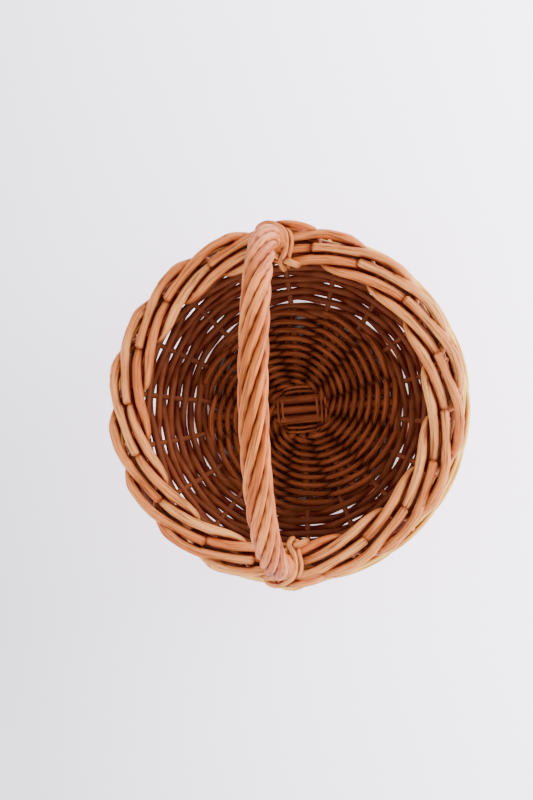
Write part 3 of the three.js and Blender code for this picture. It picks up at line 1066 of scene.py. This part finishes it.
@dataclass
class SideWeave:
    """The rows of rods woven in front of and behind the stakes, up to the border."""

    wall: Wall
    bow: BowLegs
    rows: int = 22
    first: float = 3 * MM
    last_gap: float = 8.5 * MM
    girth: float = 3.22 * MM
    sway: float = 2.1 * MM
    calm_sway: float = 1.3 * MM
    open_rows: tuple[int, int] = (8, 13)
    step: float = 3 * MM
    overlap: float = 6.0
    lead: float = 3.0
    tuck: float = 1.6 * MM
    tuck_span: float = 9.0
    waves: tuple[int, ...] = (7, 11, 18)
    drift: float = 0.27 * MM
    bow_reach: float = 5.0
    bow_pull: float = 0.6 * MM
    squareness: float = 0.85
    butts: Band = (1.02, 1.1)
    tips: Band = (0.92, 1.0)
    between: float = 1.10
    pinch: float = 0.13
    uneven_mm: float = 0.5
    seed: int = 23

    def row(self, index: int, rng: random.Random) -> Rod:
        """Makes one row, a single rod that runs once round the basket.

        Args:
            index: The row's number, from the foot up.
            rng: Chooses what differs from row to row.

        Returns:
            The rod.
        """
        last = self.wall.length - self.last_gap
        along = mix(self.first, last, index / (self.rows - 1))
        along += rng.uniform(-self.uneven_mm, self.uneven_mm) * MM
        start = self.wall.station(5 * index)
        span = 360 + self.overlap
        count = round(math.radians(span) * self.wall.radius(along) / self.step)
        sway = self.sway if self.open_rows[0] <= index <= self.open_rows[1] else self.calm_sway
        waves = [(n, rng.uniform(0, 2 * math.pi)) for n in self.waves]
        butt = self.girth * rng.uniform(*self.butts)
        tip = self.girth * rng.uniform(*self.tips)
        line, girths = [], []
        for i in range(count + 1):
            turn = span * i / count - self.lead
            degrees = start + turn
            side = math.cos(math.radians(turn * self.wall.stations / 2)) * (-1) ** (5 * index % 2)
            side = side if index % 2 == 0 else -side
            offset = sway * math.copysign(abs(side) ** self.squareness, side)
            if along > self.bow.bottom:
                offset += self._past_bow(degrees, offset)
            tuck = ease(span - self.tuck_span, span, i * span / count) * self.tuck
            drift = sum(math.sin(n * math.radians(degrees) + shift) for n, shift in waves)
            line.append(self.wall.point(degrees, along + tuck + drift * self.drift, offset))
            full = self.between - self.pinch * side * side
            girths.append(mix(butt, tip, i / count) * full)
        return Rod(line, girths, rng.random()).rounded()

    def _past_bow(self, degrees: float, offset: float) -> float:
        """Finds how much further a row swings to clear the handle's bow.

        Args:
            degrees: The angle about the basket's axis.
            offset: How far the row already swings outwards there.

        Returns:
            The distance outwards, negative for inwards.
        """
        extra = 0.0
        for bow in self.bow.angles:
            near = ((degrees - bow + 180) % 360) - 180
            share = math.exp(-((near / self.bow_reach) ** 2))
            if offset > 0:
                extra += share * (self.bow.girth + self.bow.offset)
            else:
                extra -= share * self.bow_pull
        return extra

    def build(self, loom: Loom) -> None:
        """Makes the rows.

        Args:
            loom: Makes and dresses the piece.
        """
        rng = random.Random(self.seed)
        rods = [self.row(i, rng) for i in range(self.rows)]
        nodes = [f"side_weaver_{i + 1:02d}" for i in range(self.rows)]
        loom.weave("side_weave", rods, Wood.SIDE, nodes, sides=10,
                   wander=0.8 * MM, ridges=0.3 * MM, seed=9)


@dataclass
class Stakes:
    """The 18 stakes: butt in the base, upright up the wall, then one rod of the border."""

    wall: Wall
    base: Base
    upright: float = 2.5 * MM
    border: float = 4.15 * MM
    butt_from: float = 58 * MM
    butt_turn: float = 68 * MM
    wall_points: int = 10
    pitch: float = 7.75 * MM
    drop: float = 8.0 * MM
    thicken: Band = (16 * MM, 8 * MM)
    step: float = 1.3 * MM
    bend: float = 6.5 * MM
    swell: float = 0.22
    swell_span: Band = (2 * MM, 15 * MM)
    tip_share: float = 0.9
    turn_spread: float = 0.8
    lift_spread_mm: float = 0.5
    lean_spread: float = 0.09
    late_spread: float = 0.08
    bulge_spread: float = 0.06
    seed: int = 37

    # Stations travelled, pitches outwards and drops down from the upper rods.
    ROUTE = (
        (0.06, -0.02, 0.62), (0.22, -0.12, 0.42), (0.48, -0.36, 0.06), (0.85, -0.78, 0.0),
        (1.22, -1.26, 0.0), (1.58, -1.58, 0.35), (1.90, -1.40, 0.95), (2.20, 0.95, 1.1),
        (2.42, 1.48, 0.75), (2.66, 1.66, 0.15), (2.98, 1.60, 0.0), (3.28, 1.28, 0.0),
        (3.66, 0.64, -0.02), (4.00, 0.24, -0.06), (4.20, 0.05, -0.02),
    )
    # The stations where a rod comes out on the outside, turns back in, and is at its thickest,
    # and how many pitches out that last place lies.
    OUTSIDE_FROM = 2.4
    RETURN_FROM = 3.1
    THICKEST = 2.66
    THICKEST_OUT = 1.7

    def _butt(self, degrees: float) -> Path:
        """Gives the line of a stake's butt beside its stick in the base.

        Args:
            degrees: The stake's angle.

        Returns:
            The line's points.
        """
        step = 360 / self.base.stick_ends
        end = round((degrees - self.wall.stick_turn) / step)
        axis = self.base.angle(end)
        paired = end % 2 == 0
        side = math.copysign(1, degrees - axis) if paired else 1
        foot = self.wall.foot_radius
        half_station = math.radians(180 / self.wall.stations)
        far = foot * math.sin(half_station) if paired else 0.0
        line = []
        for along in (self.butt_from, self.butt_turn, (self.butt_turn + foot) / 2):
            share = ease(self.butt_turn, foot, along)
            across = side * mix(self.base.stick + self.upright, far, share)
            line.append(polar(axis, along, self.wall.base_height) + polar(axis + 90, across, 0))
        return line

    def _border_line(self, degrees: float, rng: random.Random) -> Path:
        """Gives the line of a stake's rod in the border, with small differences of its own.

        Args:
            degrees: The stake's angle.
            rng: Chooses the differences.

        Returns:
            The line's points.
        """
        wall = self.wall
        lift = rng.uniform(-self.lift_spread_mm, self.lift_spread_mm) * MM
        lean = rng.uniform(-self.lean_spread, self.lean_spread)
        late = rng.uniform(-self.late_spread, self.late_spread)
        bulge = rng.uniform(-self.bulge_spread, self.bulge_spread)
        points = []
        for stations, sideways, drops in self.ROUTE:
            if stations > self.RETURN_FROM:
                stations += late * (stations - self.RETURN_FROM)
                sideways += lean
            elif stations > self.OUTSIDE_FROM:
                sideways += bulge
            angle = degrees + stations * 360 / wall.stations
            radius = wall.rim_radius + sideways * self.pitch
            points.append(polar(angle, radius, wall.rim_height - drops * self.drop + lift))
        return points

    def _girths(self, line: Path, degrees: float) -> list[float]:
        """Thickens a stake from its upright to its border rod.

        Args:
            line: The stake's line.
            degrees: The stake's angle.

        Returns:
            The half thickness at each of the line's points.
        """
        wall = self.wall
        thickest = polar(degrees + self.THICKEST * 360 / wall.stations,
                         wall.rim_radius + self.THICKEST_OUT * self.pitch, wall.rim_height)
        low, high = (wall.rim_height - below for below in self.thicken)
        girths = []
        for i, p in enumerate(line):
            risen = ease(low, high, p.z) if i < len(line) / 2 else 1.0
            girth = mix(self.upright, self.border, risen)
            near = 1 - ease(*self.swell_span, (p - thickest).length)
            girths.append(girth * (1 + self.swell * near) * mix(1.0, self.tip_share, i / len(line)))
        return girths

    def stake(self, index: int, rng: random.Random) -> Rod:
        """Makes one stake.

        Args:
            index: The stake's number.
            rng: Chooses what differs from stake to stake.

        Returns:
            The rod.
        """
        wall = self.wall
        degrees = wall.station(index) + rng.uniform(-self.turn_spread, self.turn_spread)
        last = self.wall_points - 1
        points = self._butt(wall.station(index))
        points += [wall.point(degrees, wall.length * i / last) for i in range(self.wall_points)]
        points += self._border_line(degrees, rng)
        line = taut_line(points, self.step, self.bend)
        return Rod(line, self._girths(line, degrees), rng.random()).rounded()

    def build(self, loom: Loom) -> None:
        """Makes the stakes with their border rods.

        Args:
            loom: Makes and dresses the piece.
        """
        rng = random.Random(self.seed)
        rods = [self.stake(i, rng) for i in range(self.wall.stations)]
        nodes = [f"stake_{i + 1:02d}" for i in range(self.wall.stations)]
        loom.weave("stakes_and_border", rods, Wood.BORDER, nodes, sides=14,
                   wander=0.6 * MM, ridges=0.5 * MM, seed=2)


@dataclass
class Handle:
    """The fixed hoop: a bow pushed down the wall, seven strands twisted round it, two lashings."""

    wall: Wall
    bow: BowLegs
    rise: float = 148 * MM
    lift: float = 8.05 * MM
    strand: float = 3.25 * MM
    strands: int = 7
    turns: float = 2.6
    bow_step: float = 3 * MM
    leg_points: int = 5
    leg_top: float = 8 * MM
    arch_points: int = 40
    strand_points: int = 190
    ragged: float = 0.014
    foot_twist: float = 0.16
    foot_span: float = 0.09
    foot_lean: float = 1.5 * MM
    lean_span: float = 0.05
    foot_shift: float = -5.0 * MM
    shift_span: float = 0.42
    lashing: float = 2.7 * MM
    tied_step: float = 1.3 * MM
    tied_bend: float = 6 * MM
    seed: int = 53

    # In millimetres: along the border, outwards from its middle, and up from its upper rods.
    LOOP = (
        (4, -8, -17), (6, -17, -13), (6, -18.5, -4), (4.5, -14.5, 5.0), (9, -8, 7.5),
        (10.5, 1, 9.0), (8.5, 9.5, 8.5), (2, 15.0, 6.0), (-6, 17.5, 2.5), (-13, 16, -2.5),
        (-16, 13, -9), (-12, 9, -15), (-5, 0, -17),
    )
    WRAP = (
        (9, -16, -8), (9.5, -15.5, 1.5), (11.5, -8, 6.6), (14, 0, 7.2), (12.5, 8, 6.4),
        (6, 13.8, 4.4), (-3, 15.5, 2.5), (-11, 14.5, -1.5), (-15, 12, -8),
    )
    OUTER_TAIL = ((-3, 14.0, 3.0), (6, 16, 4.6), (16, 15.5, 4.8), (26, 13, 4.6), (31, 11, 1.0))
    INNER_TAIL = ((-2, -6, 0.5), (4, -10.5, 4.2), (10, -14, 5.4), (19, -17.5, 4.0))
    # Each of these rods with its thickness, as a share of the lashing's.
    TIED = ((LOOP, 0.95), (WRAP, 0.9), (OUTER_TAIL, 1.2), (INNER_TAIL, 1.15))
    TIED_TIP = 0.9

    def arch(self, share: float) -> Vector:
        """Finds a point of the hoop's middle line.

        Args:
            share: The share of the hoop, from the back foot to the front one.

        Returns:
            The point.
        """
        turn = share * math.pi
        half = self.wall.rim_radius + self.bow.offset
        height = self.wall.rim_height + self.lift + (self.rise - self.lift) * math.sin(turn)
        return Vector((0, half * math.cos(turn), height))

    def rope(self, share: float) -> Vector:
        """Finds a point of the rope's middle line, which leans over at the back foot.

        Args:
            share: The share of the hoop, from the back foot to the front one.

        Returns:
            The point.
        """
        lean = self.foot_lean * max(0.0, 1.0 - share / self.lean_span) ** 2
        shift = self.foot_shift * (1.0 - ease(0.0, self.shift_span, share))
        return self.arch(share) + Vector((lean + shift, 0, 0))

    def bow_rod(self, rng: random.Random) -> Rod:
        """Makes the bow, with both ends down inside the wall.

        Args:
            rng: Chooses the rod's shade.

        Returns:
            The rod.
        """
        wall, bow = self.wall, self.bow
        legs = []
        for degrees in bow.angles:
            heights = [mix(bow.bottom, wall.length, i / self.leg_points)
                       for i in range(self.leg_points)]
            leg = [wall.point(degrees, height, bow.offset) for height in heights]
            leg.append(polar(degrees, wall.rim_radius + bow.offset, wall.rim_height - self.leg_top))
            legs.append(leg)
        arch = [self.rope(i / self.arch_points) for i in range(self.arch_points + 1)]
        line = smooth_line([*legs[0], *arch, *reversed(legs[1])], self.bow_step)
        return Rod.of(line, bow.girth, rng.random())

    def strand_rod(self, index: int, rng: random.Random) -> Rod:
        """Makes one strand of the rope round the bow.

        Args:
            index: The strand's number.
            rng: Chooses where it starts and ends, and its shade.

        Returns:
            The rod.
        """
        ring = self.bow.girth + self.strand
        across = Vector((1, 0, 0))
        first, last = rng.uniform(0.0, self.ragged), 1 - rng.uniform(0.0, self.ragged)
        line = []
        for i in range(self.strand_points + 1):
            share = mix(first, last, i / self.strand_points)
            ahead, behind = self.rope(min(share + GLANCE, 1)), self.rope(max(share - GLANCE, 0))
            up = across.cross((ahead - behind).normalized())
            foot = max(0.0, abs(share - 0.5) - (0.5 - self.foot_span)) / self.foot_span
            tighter = math.copysign(self.foot_twist * foot**2, share - 0.5)
            turn = 2 * math.pi * (index / self.strands - (self.turns * share + tighter))
            spoke = math.cos(turn) * across + math.sin(turn) * up
            line.append(self.rope(share) + ring * spoke)
        return Rod.of(line, self.strand, rng.random())

    def lashing_rods(self, side: int, rng: random.Random) -> list[Rod]:
        """Makes the rods tied round one foot: a loop, a wrap and two tucked tails.

        Args:
            side: 1 for the back foot and -1 for the front one.
            rng: Chooses the rods' shades.

        Returns:
            The rods.
        """
        shift = self.foot_shift / MM if side == 1 else 0.0
        rods = []
        for route, thick in self.TIED:
            points = [
                Vector((u + shift, side * (self.wall.rim_radius / MM + v),
                        self.wall.rim_height / MM + w))
                for u, v, w in route
            ]
            line = taut_line([p * MM for p in points], self.tied_step, self.tied_bend)
            tip = self.lashing * self.TIED_TIP
            rods.append(Rod.of(line, self.lashing * thick, rng.random(), tip))
        return rods

    def build(self, loom: Loom) -> None:
        """Makes the handle's four pieces.

        Args:
            loom: Makes and dresses each piece.
        """
        rng = random.Random(self.seed)
        loom.weave("handle_bow", [self.bow_rod(rng)], Wood.HANDLE, ["handle_bow"])
        strands = [self.strand_rod(i, rng) for i in range(self.strands)]
        nodes = [f"handle_strand_{i + 1}" for i in range(self.strands)]
        loom.weave("handle_rope", strands, Wood.HANDLE, nodes, sides=14,
                   wander=0.5 * MM, ridges=0.4 * MM, seed=6)
        for name, side in (("back", 1), ("front", -1)):
            loom.weave(f"lashing_rods_{name}", self.lashing_rods(side, rng), Wood.BORDER,
                       [f"handle_lashing_{name}"], sides=12, seed=7)


@dataclass(frozen=True)
class Lamp:
    """A square soft lamp: its place and size in metres, its power in watts, and its colour."""

    name: str
    place: Triple
    size: float
    power: float
    colour: Triple

    def hang(self, aim: Vector) -> None:
        """Adds the lamp to the scene.

        Args:
            aim: The point that it faces.
        """
        data = bpy.data.lights.new(self.name, "AREA")
        data.size, data.energy, data.color = self.size, self.power, self.colour
        lamp = bpy.data.objects.new(self.name, data)
        lamp.location = self.place
        lamp.rotation_euler = (Vector(self.place) - aim).to_track_quat("Z", "Y").to_euler()
        bpy.context.scene.collection.objects.link(lamp)


@dataclass
class Studio:
    """The pale table, the soft lamps and the camera that looks down into the basket."""

    eye: Triple = (0.1132, -0.045, 0.9913)
    aim: Triple = (-0.0128, 0.0023, 0.131)
    roll: float = -0.008
    lens: float = 50.0
    sensor: float = 36.0
    half_table: float = 6.0
    table: Triple = (0.80, 0.79, 0.83)
    table_rough: float = 0.7
    table_glow: Triple = (0.90, 0.83, 1.0)
    glow: float = 2.9
    sky: Triple = (0.95, 0.93, 1.0)
    zenith: float = 0.75
    horizon: float = 2.0
    lamp_aim: Triple = (0, 0, 0.1)

    # The table glows, though it is no lamp, beyond the basket and more towards one side, and stays
    # dark under the basket as a painted contact shadow: distances from the axis and along a slope
    # in metres, the slope's way, and its least and most share.
    GLOW_BAND = (0.085, 0.135)
    SLOPE_WAY = (1.0, 0.3, 0.0)
    SLOPE_BAND = (-0.35, 0.35)
    SLOPE_SHARES = (0.32, 1.55)
    SKY_BAND = (0.1, 0.9)
    LAMPS = (
        Lamp("window_right", (1.6, 0.7, 0.7), 1.2, 60.0, (1.0, 0.98, 0.96)),
        Lamp("window_left", (-1.7, -0.4, 0.8), 1.3, 20.0, (0.97, 0.98, 1.0)),
        Lamp("fill_front", (0.2, -1.8, 0.9), 1.2, 20.0, (1.0, 1.0, 1.0)),
    )

    def camera(self) -> None:
        """Places the camera."""
        data = bpy.data.cameras.new("camera")
        data.lens, data.sensor_width = self.lens, self.sensor
        camera = bpy.data.objects.new("camera", data)
        eye = Vector(self.eye)
        ahead = (Vector(self.aim) - eye).normalized()
        right = ahead.cross(Vector((0, 1, 0))).normalized()
        up = right.cross(ahead)
        cos, sin = math.cos(self.roll), math.sin(self.roll)
        right, up = right * cos + up * sin, up * cos - right * sin
        turn = Matrix((right, up, -ahead)).transposed().to_4x4()
        camera.matrix_world = Matrix.Translation(eye) @ turn
        bpy.context.scene.collection.objects.link(camera)
        bpy.context.scene.camera = camera

    def table_white(self) -> bpy.types.Material:
        """Builds the table top's glowing material, with a painted contact shadow under the basket.

        Returns:
            The material.
        """
        made = bpy.data.materials.new("table_white")
        made.use_nodes = True
        paint = Nodes(made.node_tree)
        place = paint.add("ShaderNodeTexCoord").outputs["Object"]
        far = paint.add("ShaderNodeVectorMath", {0: place}, operation="LENGTH").outputs["Value"]
        glow = paint.rise(far, self.GLOW_BAND, most=self.glow)
        slope = paint.vector("DOT_PRODUCT", place, self.SLOPE_WAY)
        slope = paint.rise(slope, self.SLOPE_BAND, *self.SLOPE_SHARES)
        paint.fill(made.node_tree.nodes["Principled BSDF"],
                   {"Base Color": opaque(self.table), "Roughness": self.table_rough,
                    "Emission Color": opaque(self.table_glow),
                    "Emission Strength": paint.math("MULTIPLY", glow, slope)})
        return made

    def floor(self) -> None:
        """Adds the pale table top."""
        mesh = bpy.data.meshes.new("table_top")
        half = self.half_table
        corners = [(-half, -half, 0), (half, -half, 0), (half, half, 0), (-half, half, 0)]
        mesh.from_pydata(corners, [], [(0, 1, 2, 3)])
        mesh.materials.append(self.table_white())
        floor = bpy.data.objects.new("table_top", mesh)
        bpy.context.scene.collection.objects.link(floor)

    def surroundings(self) -> None:
        """Adds the room's soft light, brighter near the horizon than overhead."""
        world = bpy.data.worlds.new("studio")
        world.use_nodes = True
        paint = Nodes(world.node_tree)
        up = paint.part(paint.add("ShaderNodeTexCoord").outputs["Generated"], "Z")
        strength = paint.rise(up, self.SKY_BAND, self.horizon, self.zenith)
        paint.fill(world.node_tree.nodes["Background"],
                   {"Color": opaque(self.sky), "Strength": strength})
        bpy.context.scene.world = world

    def build(self) -> None:
        """Sets the stage."""
        self.camera()
        self.floor()
        self.surroundings()
        for lamp in self.LAMPS:
            lamp.hang(Vector(self.lamp_aim))


def main() -> None:
    """Builds the stage and the basket."""
    logging.basicConfig(level=logging.INFO)
    Studio().build()
    loom = Loom()
    wall, bow = Wall(), BowLegs()
    base = Base(wall)
    for part in (base, SideWeave(wall, bow), Stakes(wall, base), Handle(wall, bow)):
        part.build(loom)


if __name__ == "__main__":
    main()
